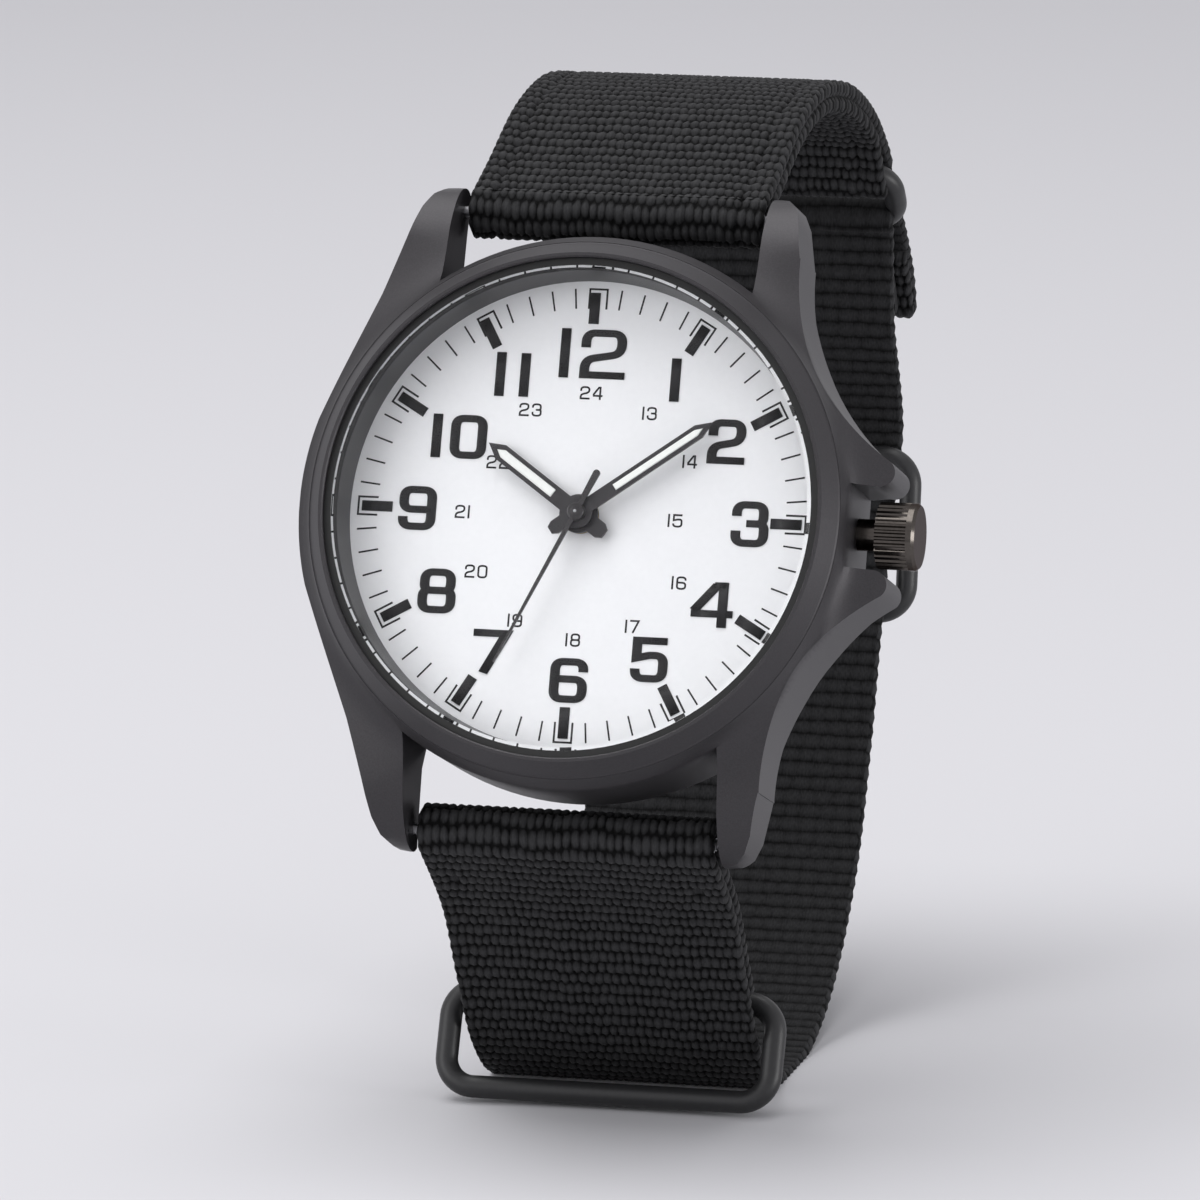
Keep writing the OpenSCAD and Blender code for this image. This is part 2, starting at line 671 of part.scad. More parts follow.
function curve_point(p, i, t) =
    let (a = p[max(i - 1, 0)], b = p[i], c = p[min(i + 1, len(p) - 1)], d = p[min(i + 2, len(p) - 1)])
    (2 * b + (c - a) * t + (2 * a - 5 * b + 4 * c - d) * t * t + (3 * b - a - 3 * c + d) * t * t * t) / 2;

// Points of a smooth curve through p at the given places, counted in points of p
function curve(p, places) = [for (s = places) let (i = min(floor(s), len(p) - 2)) curve_point(p, i, s - i)];

function steps(from, to, count) = [for (k = [0 : count]) from + (to - from) * k / count];

// The curve moved to its left by a distance for each of its points
function beside(c, distances) = [
    for (i = [0 : len(c) - 1])
        let (d = c[min(i + 1, len(c) - 1)] - c[max(i - 1, 0)], u = d / norm(d))
        c[i] + distances[i] * [-u.y, u.x]];

function same(c, distance) = [for (point = c) distance];
function reversed(c) = [for (i = [len(c) - 1 : -1 : 0]) c[i]];
function bearing(v) = atan2(v.y, v.x);
// Points of an arc between its two ends, which are left out
function arc(centre, r, from, to) = [for (k = [1 : 15]) centre + polar(r, from + (to - from) * k / 16)];

module across(width) {
    rotate([90, 0, 90]) translate([0, 0, -width / 2]) linear_extrude(width) children();
}

// A band of even thickness beside a curve
module band(c, near, far) {
    polygon(concat(beside(c, same(c, near)), reversed(beside(c, same(c, far)))));
}

module upper_strap() {
    last = len(upper_points) - 1;
    places = steps(0, last, 60);
    outer = curve(upper_points, places);
    depth = [for (s = places) -lookup(s, [[0, 2 * strap_eye_r], [0.8, 2 * web_t],
        [last - 0.9, 2 * web_t], [last, 2 * ring_eye_r]])];
    from_bar = bearing(upper_out);
    at_ring = bearing(closure_out);
    color(nylon) difference() {
        across(strap_w) difference() {
            polygon(concat(outer, arc(closure_high, ring_eye_r, at_ring, at_ring - 180),
                reversed(beside(outer, depth)), arc(upper_bar, strap_eye_r, from_bar - 180, from_bar - 360)));
            translate(upper_bar) circle(r = tube_r + gap);
            translate(closure_high) circle(r = wire_r + gap);
        }
        closure_room();
    }
}

module lower_strap() {
    last = len(lower_points) - 1;
    places = concat(steps(0, doubled_to, 22), steps(doubled_to + 0.03, last, 108));
    outer = curve(lower_points, places);
    depth = [for (s = places) lookup(s, [[0, 2 * strap_eye_r], [0.45, 2 * web_t],
        [doubled_to, 2 * web_t], [doubled_to + 0.03, web_t]])];
    from_bar = bearing(lower_out);
    at_fold = bearing(tail_out);
    color(nylon) difference() {
        across(strap_w) difference() {
            polygon(concat(outer, arc(closure_low, wire_r + gap, at_fold + 180, at_fold),
                arc(closure_low, ring_eye_r, at_fold, at_fold + 180),
                reversed(beside(outer, depth)), arc(lower_bar, strap_eye_r, from_bar - 180, from_bar)));
            translate(lower_bar) circle(r = tube_r + gap);
            translate([-40, -5]) square([80, 5]);
        }
        closure_room();
    }
}

module loop_pad() {
    color([0.07, 0.07, 0.08]) across(strap_w - 2.4)
        band(curve(lower_points, steps(pad_from, pad_to, 12)), -slip, -pad_t);
}

module strap_tail() {
    places = steps(0, 3, 24);
    outer = curve(tail_points, places);
    depth = [for (s = places) -lookup(s, [[tail_doubled, web_t], [tail_doubled + 0.12, 2 * web_t]])];
    tip = bearing(outer[24] - outer[23]) + 90;
    color(nylon) across(strap_w) difference() {
        polygon(concat(outer, arc(outer[24] - polar(web_t, tip), web_t, tip, tip - 180),
            reversed(beside(outer, depth))));
        translate(closure_low) rotate(bearing(tail_out)) translate([-5, -gap]) square([10, 9]);
    }
}

module hook_pad() {
    color([0.07, 0.07, 0.08]) across(strap_w - 2.4)
        band(curve(tail_points, steps(tail_doubled + 0.2, 2.9, 10)), -2 * web_t - slip, -2 * web_t - pad_t);
}

// Rings of bent wire

keeper_in = strap_w + 0.5;     // inner width of the two keepers
closure_in = strap_w - 1.6;    // inner width of the closure ring, in which the webbing is gathered
bend_r = 2.1;                  // radius of the wire's middle at a corner

module wire_ring(inner_w, inner_h, r) {
    half_w = (inner_w + wire_d) / 2;
    half_h = (inner_h + wire_d) / 2;
    for (x = [-1, 1], y = [-1, 1]) scale([x, y, 1]) translate([half_w - bend_r, half_h - bend_r, 0])
        rotate_extrude(angle = 90) translate([bend_r, 0]) circle(r = r, $fn = 32);
    for (y = [-1, 1]) translate([0, y * half_h, 0]) rotate([0, 90, 0])
        cylinder(r = r, h = 2 * (half_w - bend_r), center = true, $fn = 32);
    for (x = [-1, 1]) translate([x * half_w, 0, 0]) rotate([90, 0, 0])
        cylinder(r = r, h = 2 * (half_h - bend_r), center = true, $fn = 32);
}

// A ring whose two wires run through two points of the side view
module ring_through(low, high, inner_w, inner_h, r = wire_r) {
    middle = (low + high) / 2;
    color([0.13, 0.13, 0.14]) translate([0, middle.x, middle.y])
        rotate([atan2(high.y - low.y, high.x - low.x), 0, 0]) wire_ring(inner_w, inner_h, r);
}

// The room that the webbing leaves for the closure ring
module closure_room() {
    ring_through(closure_low, closure_high, closure_in, closure_h, wire_r + gap + slip);
}

function along(from, distance, direction) = from + distance * [cos(direction), sin(direction)];

front_low = [-14.5, wire_r + 0.3];   // lower wire of the front keeper, just over the ground
front_tilt = 65;
back_low = stand(52.9, -16.6);       // lower wire of the back keeper, outside the strap
back_tilt = 80;

module closure_ring() {
    ring_through(closure_low, closure_high, closure_in, closure_h);
}

module front_keeper() {
    ring_through(front_low, along(front_low, front_h + wire_d, front_tilt), keeper_in, front_h);
}

module back_keeper() {
    ring_through(back_low, along(back_low, back_h + wire_d, back_tilt), keeper_in, back_h);
}

case_middle();
bezel();
crystal();
crystal_gasket();
rehaut();
dial();
case_back();
case_back_gasket();
movement_holder();
main_plate();
train_bridge();
movement_screws();
battery();
stator();
coil();
circuit_board();
quartz_can();
rotor();
fifth_wheel();
seconds_wheel();
third_wheel();
centre_wheel();
cannon_pinion();
minute_wheel();
hour_wheel();
hour_hand();
minute_hand();
seconds_hand();
crown_tube();
crown();
crown_gasket();
stem();
clutch_wheel();
setting_lever();
spring_bar_tubes();
spring_bar_springs();
upper_left_pin();
upper_right_pin();
lower_left_pin();
lower_right_pin();
upper_strap();
lower_strap();
loop_pad();
strap_tail();
hook_pad();
closure_ring();
front_keeper();
back_keeper();
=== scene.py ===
import math

import bmesh
import bpy
import numpy as np
from mathutils import Matrix, Vector
from mathutils.kdtree import KDTree


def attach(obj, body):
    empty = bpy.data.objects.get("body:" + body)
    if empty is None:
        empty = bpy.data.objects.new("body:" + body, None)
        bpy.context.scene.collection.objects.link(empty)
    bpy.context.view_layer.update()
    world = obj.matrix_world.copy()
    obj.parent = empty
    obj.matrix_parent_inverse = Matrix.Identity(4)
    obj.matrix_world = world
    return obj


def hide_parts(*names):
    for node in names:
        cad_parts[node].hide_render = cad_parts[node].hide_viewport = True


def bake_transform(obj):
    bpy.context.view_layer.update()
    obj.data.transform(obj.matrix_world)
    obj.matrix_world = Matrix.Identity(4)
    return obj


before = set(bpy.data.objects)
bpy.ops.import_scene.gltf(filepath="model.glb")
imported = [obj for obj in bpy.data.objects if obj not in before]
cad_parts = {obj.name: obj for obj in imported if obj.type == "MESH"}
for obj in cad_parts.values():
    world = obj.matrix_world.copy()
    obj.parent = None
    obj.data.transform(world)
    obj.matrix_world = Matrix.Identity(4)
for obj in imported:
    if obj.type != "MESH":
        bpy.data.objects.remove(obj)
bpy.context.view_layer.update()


# View. The watch stands a little below eye level and is seen from its right,
# through a long lens, so its dial looks almost square on.
mm = 0.001
dial_back, dial_up = -21.3, 43.8      # the dial's centre in the side view
dial_centre = Vector((0.0, dial_back * mm, dial_up * mm))
lens = bpy.data.cameras.new("lens")
lens.lens = 300
lens.sensor_width = 36
lens.clip_start = 0.05
camera = bpy.data.objects.new("camera", lens)
# its columns point right, up and back, and the last is its place
camera.matrix_world = Matrix((
    (0.9722, -0.0460, 0.2300, dial_centre.x + 0.1601),
    (0.2346, 0.1905, -0.9532, dial_centre.y - 0.6583),
    (0.0, 0.9806, 0.1959, dial_centre.z + 0.1295),
    (0.0, 0.0, 0.0, 1.0)))
bpy.context.scene.collection.objects.link(camera)
bpy.context.scene.camera = camera
bpy.context.scene.view_settings.view_transform = "Standard"


# Table and light. A pale matt table runs out of sight behind the watch. One wide
# softbox hangs over it, one stands at its front left and a small one low at its
# right, and a pale room fills in.
def matt(name, colour, roughness):
    """A plain dull finish, with its shader for further settings."""
    material = bpy.data.materials.new(name)
    material.use_nodes = True
    shader = material.node_tree.nodes["Principled BSDF"]
    shader.inputs["Base Color"].default_value = (*colour, 1)
    shader.inputs["Roughness"].default_value = roughness
    return material, shader


def finished(name, shape, material):
    """The piece that a shape ends as, laid into the scene."""
    mesh = bpy.data.meshes.new(name)
    shape.to_mesh(mesh)
    shape.free()
    mesh.materials.append(material)
    piece = bpy.data.objects.new(name, mesh)
    bpy.context.scene.collection.objects.link(piece)
    return piece


table_paint, table_shader = matt("table_paint", (0.66, 0.655, 0.68), 0.9)
table_shader.inputs["Specular IOR Level"].default_value = 0.1
shape = bmesh.new()
bmesh.ops.create_grid(shape, x_segments=1, y_segments=1, size=3)
finished("table", shape, table_paint)

room = bpy.data.worlds.new("room")
bpy.context.scene.world = room
room.use_nodes = True
tree = room.node_tree
# the pale light of the room, and the colour that the lens, metal and glass see behind it
backdrop = tree.nodes["Background"]
backdrop.inputs["Color"].default_value = (0.93, 0.93, 0.96, 1)
backdrop.inputs["Strength"].default_value = 0.55
seen = tree.nodes.new("ShaderNodeBackground")
seen.inputs["Color"].default_value = (0.70, 0.695, 0.72, 1)
path = tree.nodes.new("ShaderNodeLightPath")
choice = tree.nodes.new("ShaderNodeMixShader")
shown = path.outputs["Is Camera Ray"]
for ray in ("Is Glossy Ray", "Is Transmission Ray"):
    also = tree.nodes.new("ShaderNodeMath")
    also.operation = "MAXIMUM"
    tree.links.new(shown, also.inputs[0])
    tree.links.new(path.outputs[ray], also.inputs[1])
    shown = also.outputs[0]
tree.links.new(shown, choice.inputs[0])
tree.links.new(backdrop.outputs[0], choice.inputs[1])
tree.links.new(seen.outputs[0], choice.inputs[2])
tree.links.new(choice.outputs[0], tree.nodes["World Output"].inputs["Surface"])


def softbox(name, place, size, power):
    """A square lamp that faces the dial: size in metres, power in watts."""
    light = bpy.data.lights.new(name, "AREA")
    light.shape = "SQUARE"
    light.size = size
    light.energy = power
    lamp = bpy.data.objects.new(name, light)
    lamp.location = place
    lamp.rotation_euler = (dial_centre - Vector(place)).to_track_quat("-Z", "Y").to_euler()
    bpy.context.scene.collection.objects.link(lamp)


softbox("overhead_softbox", (-0.15, 0.0, 0.75), 0.7, 4.2)
softbox("left_softbox", (-0.5, -0.45, 0.25), 0.45, 1.25)
softbox("right_softbox", (0.5, -0.1, 0.03), 0.25, 1.3)


# Case and bezel: the case is one milled piece with its lugs and crown guards, the
# bezel is pressed on it. Both are bead-blasted and anodised a dark warm grey.
grain_detail, relief_strength = 3, 0.6


def grained(name, dark, light, scale, roughness, metallic, depth, stretch=(1, 1, 1)):
    """A finish whose colour and surface follow one fine grain."""
    material, shader = matt(name, dark, roughness)
    nodes, links = material.node_tree.nodes, material.node_tree.links
    shader.inputs["Metallic"].default_value = metallic
    place = nodes.new("ShaderNodeTexCoord")
    turn = nodes.new("ShaderNodeMapping")
    turn.inputs["Scale"].default_value = stretch
    grain = nodes.new("ShaderNodeTexNoise")
    grain.inputs["Scale"].default_value = scale
    grain.inputs["Detail"].default_value = grain_detail
    blend = nodes.new("ShaderNodeMix")
    blend.data_type = "RGBA"
    blend.inputs["A"].default_value = (*dark, 1)
    blend.inputs["B"].default_value = (*light, 1)
    relief = nodes.new("ShaderNodeBump")
    relief.inputs["Strength"].default_value = relief_strength
    relief.inputs["Distance"].default_value = depth
    links.new(place.outputs["Object"], turn.inputs["Vector"])
    links.new(turn.outputs["Vector"], grain.inputs["Vector"])
    links.new(grain.outputs["Fac"], blend.inputs["Factor"])
    links.new(blend.outputs["Result"], shader.inputs["Base Color"])
    links.new(grain.outputs["Fac"], relief.inputs["Height"])
    links.new(relief.outputs["Normal"], shader.inputs["Normal"])
    return material


def dress(material, *names):
    """Give one finish to nodes of the frame."""
    for name in names:
        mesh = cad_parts[name].data
        mesh.materials.clear()
        mesh.materials.append(material)


blasted = grained("blasted_case", (0.030, 0.028, 0.031), (0.055, 0.052, 0.056),
                  9000, 0.45, 0.5, 5e-6)
dress(blasted, "case_middle", "bezel")

weld, sliver = 1e-7, 1e-6     # points and faces smaller than this are run together
most_cuts = 7                 # times that an edge of the case is halved
least = 1e-12                 # keeps empty sums from a division by nought


def clear_slivers(shape):
    """Faces too thin to have a lie of their own are taken out, and the rest made triangles."""
    bmesh.ops.dissolve_degenerate(shape, edges=shape.edges, dist=sliver)
    bmesh.ops.triangulate(shape, faces=shape.faces)


def flowing(name, node, longest=0.001, reach=0.0013, crease=50):
    """A copy of a milled node in small faces, its flat cuts blended into each other."""
    shape = bmesh.new()
    shape.from_mesh(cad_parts[node].data)
    bmesh.ops.remove_doubles(shape, verts=shape.verts, dist=weld)
    clear_slivers(shape)
    for _ in range(most_cuts):
        edges = [e for e in shape.edges if e.calc_length() > longest]
        if not edges:
            break
        bmesh.ops.subdivide_edges(shape, edges=edges, cuts=1)
        bmesh.ops.triangulate(shape, faces=[f for f in shape.faces if len(f.verts) > 3])
    clear_slivers(shape)
    shape.faces.ensure_lookup_table()
    shape.faces.index_update()
    centres = KDTree(len(shape.faces))
    for face in shape.faces:
        centres.insert(face.calc_center_median(), face.index)
    centres.balance()
    # the lie of each face is evened with that of its neighbours, though not past a sharp edge
    raw = np.array([face.normal for face in shape.faces])
    area = np.array([face.calc_area() for face in shape.faces])
    limit = math.cos(math.radians(crease))
    even = np.empty_like(raw)
    for face in shape.faces:
        near = centres.find_range(face.calc_center_median(), reach)
        which = np.array([n[1] for n in near])
        far = np.array([n[2] for n in near])
        weight = area[which] * (1 - far / reach) * (raw[which] @ raw[face.index] > limit)
        even[face.index] = weight @ raw[which] + least * raw[face.index]
    even /= np.maximum(np.linalg.norm(even, axis=1), least ** 2)[:, None]
    corners = []
    for face in shape.faces:
        for loop in face.loops:
            around = [f.index for f in loop.vert.link_faces]
            weight = np.maximum(area[around], least) * (raw[around] @ raw[face.index] > limit)
            corners.append(tuple(weight @ even[around] / max(weight.sum(), least)))
        face.smooth = True
    piece = finished(name, shape, blasted)
    piece.data.normals_split_custom_set(corners)
    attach(piece, "case")
    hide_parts(node)


flowing("milled_case", "case_middle")


# Case back, spring bars and the small parts of the movement: turned steel, with fine
# lathe marks. The case back snaps into the case from behind, the bars stand in the lugs.
dress(grained("turned_steel", (0.42, 0.42, 0.44), (0.66, 0.66, 0.68), 5000, 0.3, 1.0, 3e-6,
              (0.15, 1, 1)),
      "case_back", "clutch_wheel", "setting_lever",
      "spring_bar_tubes", "spring_bar_springs", "upper_left_pin", "upper_right_pin",
      "lower_left_pin", "lower_right_pin", "battery", "train_bridge", "movement_screws",
      "quartz_can", "rotor", "cannon_pinion", "stator")


# Movement: brass plate and wheels, plastic holder, board and coil. They are closed
# in the case, and keep the plain finishes of such parts.
dress(grained("turned_brass", (0.5, 0.36, 0.12), (0.72, 0.55, 0.24), 5000, 0.3, 1.0, 3e-6),
      "main_plate", "fifth_wheel", "seconds_wheel", "third_wheel", "centre_wheel",
      "minute_wheel", "hour_wheel")
dress(grained("winding_wire", (0.3, 0.1, 0.04), (0.62, 0.26, 0.12), 7000, 0.35, 1.0, 5e-6),
      "coil")
dress(grained("printed_board", (0.005, 0.07, 0.025), (0.012, 0.12, 0.045), 4000, 0.4, 0.0, 3e-6),
      "circuit_board")
dress(grained("white_plastic", (0.62, 0.62, 0.58), (0.72, 0.72, 0.68), 3000, 0.5, 0.0, 3e-6),
      "movement_holder")


# Gaskets: black rubber rings, squeezed between the glass and the bezel, under the
# case back and round the crown tube.
dress(grained("rubber", (0.004, 0.004, 0.004), (0.01, 0.01, 0.01), 3000, 0.6, 0.0, 4e-6),
      "crystal_gasket", "case_back_gasket", "crown_gasket")


# Sloping ring at the dial's edge: moulded black plastic with a dull skin. The bezel
# holds it down on the dial.
dress(grained("ring_plastic", (0.03, 0.03, 0.032), (0.05, 0.05, 0.052), 6000, 0.4, 0.0, 3e-6),
      "rehaut")


# Glass: a flat mineral disc with a ground edge, pressed into its gasket. A thin
# coating keeps it from mirroring the room, and it lets the lamps through to the dial.
glass = bpy.data.materials.new("mineral_glass")
glass.use_nodes = True
nodes, links = glass.node_tree.nodes, glass.node_tree.links
clear = nodes["Principled BSDF"]
clear.inputs["Base Color"].default_value = (1, 1, 1, 1)
clear.inputs["Roughness"].default_value = 0.0
clear.inputs["IOR"].default_value = 1.5
clear.inputs["Specular Tint"].default_value = (0.3, 0.3, 0.3, 1)
clear.inputs["Transmission Weight"].default_value = 1.0
through = nodes.new("ShaderNodeBsdfTransparent")
lamp_ray = nodes.new("ShaderNodeLightPath")
either = nodes.new("ShaderNodeMixShader")
links.new(lamp_ray.outputs["Is Shadow Ray"], either.inputs[0])
links.new(clear.outputs[0], either.inputs[1])
links.new(through.outputs[0], either.inputs[2])
links.new(either.outputs[0], nodes["Material Output"].inputs["Surface"])
dress(glass, "crystal")


# Dial: a brass disc, lacquered white and baked. It lies on the movement, under the
# sloping ring.
dress(grained("dial_lacquer", (0.84, 0.85, 0.87), (0.88, 0.89, 0.91), 2500, 0.45, 0.0, 1e-6),
      "dial")


# Hour numerals, hour marks, minute track and 24-hour numbers: black ink, printed
# on the lacquer in several passes, so that the large figures stand up with round edges.
lean = math.radians(20)       # the watch leans back
watch = Matrix.Translation(dial_centre) @ Matrix.Rotation(math.radians(90) - lean, 4, "X")
ink = grained("black_print", (0.006, 0.006, 0.007), (0.014, 0.013, 0.015), 5000, 0.45, 0.0, 2e-6)
ink.node_tree.nodes["Principled BSDF"].inputs["Specular IOR Level"].default_value = 0.2
bend_steps = 8
half_leg = 0.47               # the bends at both ends of a short leg stay just apart


def bent_line(points, bends, round_tops=1):
    """A line with each corner bent by its own reach, which grows on level legs for round tops."""
    def share(corner, other, reach):
        leg = other - corner
        if round_tops == 1 or abs(leg.x) < abs(leg.y):
            return reach / leg.length
        return min(reach * round_tops / leg.length, half_leg)

    line = []
    for i, (corner, reach) in enumerate(zip(points, bends)):
        corner = Vector(corner)
        if reach == 0:
            line.append(corner)
            continue
        before, after = Vector(points[i - 1]), Vector(points[(i + 1) % len(points)])
        start = corner.lerp(before, share(corner, before, reach))
        end = corner.lerp(after, share(corner, after, reach))
        for k in range(bend_steps + 1):
            t = k / bend_steps
            line.append(start.lerp(corner, t).lerp(corner.lerp(end, t), t))
    return line


def figure(digit, w, h, upright, level):
    """A digit's strokes in a box w by h: each one's points, their bends, and whether it closes."""
    left, right, foot, top = upright / 2, w - upright / 2, level / 2, h - level / 2
    full, slim = min(0.31 * (w - upright), 0.19 * h), 0.22 * (w - upright)
    bent = [0, full, full, full, full, full, 0]
    six = [([(right, 0.70 * h), (right, top), (left, top), (left, foot), (right, foot),
             (right, 0.53 * h), (left, 0.53 * h)], bent, False)]
    if digit == "0":
        return [([(left, foot), (right, foot), (right, top), (left, top)], [full] * 4, True)]
    if digit == "1":
        return [([(w / 2, 0), (w / 2, h)], [0, 0], False)]
    if digit == "2":
        return [([(left, 0.63 * h), (left, top), (right, top), (right, 0.515 * h),
                  (left, 0.385 * h), (left, foot), (w, foot)],
                 [0, full, full, full, full, 0, 0], False)]
    if digit == "3":
        waist, inner = 0.51 * h, right - 0.03 * w
        return [([(left, 0.67 * h), (left, top), (inner, top), (inner, waist), (0.4 * w, waist)],
                 [0, full, full, slim, 0], False),
                ([(0.4 * w, waist), (right, waist), (right, foot), (left, foot),
                  (left, 0.345 * h)], [0, slim, full, full, 0], False)]
    if digit == "4":
        return [([(0.02 * w, 0.3 * h), (w, 0.3 * h)], [0, 0], False),
                ([(0.75 * w, 0), (0.75 * w, h)], [0, 0], False),
                ([(0.6 * w, 0.935 * h), (left - 0.03 * w, 0.36 * h)], [0, 0], False),
                ([(0.54 * w, top), (0.8 * w, top)], [0, 0], False)]
    if digit == "5":
        inner = left + 0.02 * w
        return [([(0.95 * w, top), (inner, top), (inner, 0.53 * h), (0.5 * w, 0.6 * h),
                  (right, 0.6 * h), (right, foot), (left, foot), (left, 0.29 * h)],
                 [0, 0, 0, 0.05 * w, full, full, full, 0], False)]
    if digit == "6":
        return six
    if digit == "7":
        return [([(0, top), (0.86 * w, top), (0.32 * w, 0.02 * h)], [0, 0, 0], False)]
    if digit == "8":
        waist, aside = 0.51 * h, 0.03 * w
        return [([(left + aside, waist), (right - aside, waist), (right - aside, top),
                  (left + aside, top)], [slim, slim, full, full], True),
                ([(left, foot), (right, foot), (right, waist), (left, waist)],
                 [full, full, slim, slim], True)]
    # a nine is a six, turned
    return [([(w - x, h - y) for x, y in line], bends, closed) for line, bends, closed in six]


# a stroke's section, over its top from side to side: shares of its half width and its height
dome = ((-1, 0), (-1, 0.55), (-0.85, 0.9), (-0.5, 1), (0.5, 1), (0.85, 0.9), (1, 0.55), (1, 0))
sharpest = 0.4                # how far a sharp corner may stretch a stroke


def stroke(shape, line, closed, wide, tall, high, place):
    """One domed stroke of ink: wide where its line runs up, tall where it runs across."""
    squeeze = tall / wide
    flat = [Vector((x * squeeze, y)) for x, y in line]
    count = len(flat)
    rings = []
    for i, here in enumerate(flat):
        ways = []
        if closed or i > 0:
            ways.append((here - flat[i - 1]).normalized())
        if closed or i < count - 1:
            ways.append((flat[(i + 1) % count] - here).normalized())
        way = (ways[0] + ways[-1]).normalized()
        side = Vector((-way.y, way.x)) / max(sharpest, way.dot(ways[0])) * tall / 2
        section = [((here.x + side.x * u) / squeeze, here.y + side.y * u, high * z)
                   for u, z in dome]
        rings.append([shape.verts.new(place @ Vector(point)) for point in section])
    pairs = list(zip(rings, rings[1:]))
    if closed:
        pairs.append((rings[-1], rings[0]))
    for one, two in pairs:
        for k in range(len(dome)):
            beside = (k + 1) % len(dome)
            shape.faces.new((one[k], two[k], two[beside], one[beside])).smooth = True
    if not closed:
        shape.faces.new(rings[0])
        shape.faces.new(rings[-1])


def print_on_dial(name, shape):
    """Ink drawn in millimetres round the dial's centre, laid on the leaning dial."""
    bmesh.ops.recalc_face_normals(shape, faces=shape.faces)
    bmesh.ops.transform(shape, matrix=watch @ Matrix.Scale(mm, 4), verts=shape.verts)
    piece = finished(name, shape, ink)
    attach(piece, "case")


upright, level = 0.68, 0.5    # strokes of the large figures
thick_ink, thin_ink = 0.08, 0.02
thick_lift, thin_lift = 0.003, 0.002        # a figure's next stroke stands up this much more
numerals = bmesh.new()
for digit, left, low, w, h in (
        ("1", -2.43, 9.57, 0.76, 3.45), ("2", -0.93, 9.57, 3.22, 3.45),
        ("1", 5.58, 8.20, 0.66, 3.02), ("2", 8.55, 4.00, 2.65, 3.12),
        ("3", 10.65, -1.68, 2.65, 3.17), ("4", 8.25, -7.38, 3.00, 3.15),
        ("5", 4.35, -11.38, 2.63, 3.12), ("6", -1.25, -13.08, 2.67, 3.10),
        ("7", -6.88, -11.35, 2.70, 3.10), ("8", -11.08, -7.30, 2.70, 3.12),
        ("9", -12.95, -1.55, 2.67, 3.07), ("1", -11.00, 3.60, 0.66, 3.05),
        ("0", -9.70, 3.58, 2.60, 3.07), ("1", -6.85, 8.08, 0.68, 3.08),
        ("1", -5.10, 8.10, 0.66, 3.05)):
    for layer, (points, bends, closed) in enumerate(figure(digit, w, h, upright, level)):
        stroke(numerals, bent_line(points, bends), closed, upright, level,
               thick_ink + thick_lift * layer, Matrix.Translation((left, low, 0)))
print_on_dial("hour_numerals", numerals)

small_w, small_one, small_h, between = 0.7, 0.14, 0.92, 0.2
small_line, small_inset, small_bend = 0.13, 0.12, 1.7
small_numbers = bmesh.new()
for number, x, y in ((24, 0.05, 8.56), (13, 4.28, 7.30), (14, 7.39, 4.06), (15, 6.69, -0.09),
                     (16, 7.30, -4.40), (17, 4.28, -7.58), (18, 0.16, -8.71), (19, -4.05, -7.54),
                     (20, -7.08, -4.25), (21, -8.40, -0.12), (22, -6.17, 3.45), (23, -4.17, 7.21)):
    widths = [small_one if digit == "1" else small_w for digit in str(number)]
    left = x - (sum(widths) + between) / 2
    for digit, w in zip(str(number), widths):
        strokes = figure(digit, w, small_h, small_inset, small_inset)
        for layer, (points, bends, closed) in enumerate(strokes):
            stroke(small_numbers, bent_line(points, bends, small_bend), closed,
                   small_line, small_line, thin_ink + thin_lift * layer,
                   Matrix.Translation((left, y - small_h / 2, 0)))
        left += w + between
print_on_dial("small_numbers", small_numbers)

track_in, track_out, track_line = 14.5, 15.9, 0.12
frame_in, frame_out, frame_half, frame_line = 14.45, 15.84, 0.62, 0.14
mark_in, mark_out, mark_w = 13.4, 15.58, 0.72
off_frame = -0.2              # the marks at eleven and twelve are printed beside their frames
track = bmesh.new()
marks = bmesh.new()
for minute in range(60):
    turn = Matrix.Rotation(-math.radians(6 * minute), 4, "Z")
    if minute % 5:
        stroke(track, [(0, track_in), (0, track_out)], False, track_line, track_line,
               thin_ink, turn)
        continue
    stroke(track, [(-frame_half, frame_in), (-frame_half, frame_out), (frame_half, frame_out),
                   (frame_half, frame_in)], False, frame_line, frame_line, thin_ink, turn)
    aside = off_frame if minute in (0, 55) else 0
    stroke(marks, [(aside, mark_in), (aside, mark_out)], False, mark_w, mark_w, thick_ink, turn)
print_on_dial("minute_track", track)
print_on_dial("hour_marks", marks)


# Hands: stamped, black-plated brass, pressed on their arbors. The hour and minute
# hands have a slot filled with a domed strip of white lume.
dress(grained("black_plating", (0.028, 0.027, 0.029), (0.05, 0.048, 0.052), 5000, 0.3, 0.5, 2e-6),
      "hour_hand", "minute_hand")
# the seconds hand's plating is a lighter copy of the black plating: painted highlight, so that its
# hub stands out
painted_highlight_plating = grained("painted_highlight_plating", (0.045, 0.043, 0.045), (0.085, 0.082, 0.085),
                         5000, 0.25, 0.8, 2e-6)
dress(painted_highlight_plating, "seconds_hand")
lume = grained("lume", (0.80, 0.82, 0.80), (0.88, 0.90, 0.88), 4000, 0.6, 0.0, 3e-6)
lume_t, lume_round = 0.26, 0.08
hour_angle, minute_angle = 304.7, 53.5


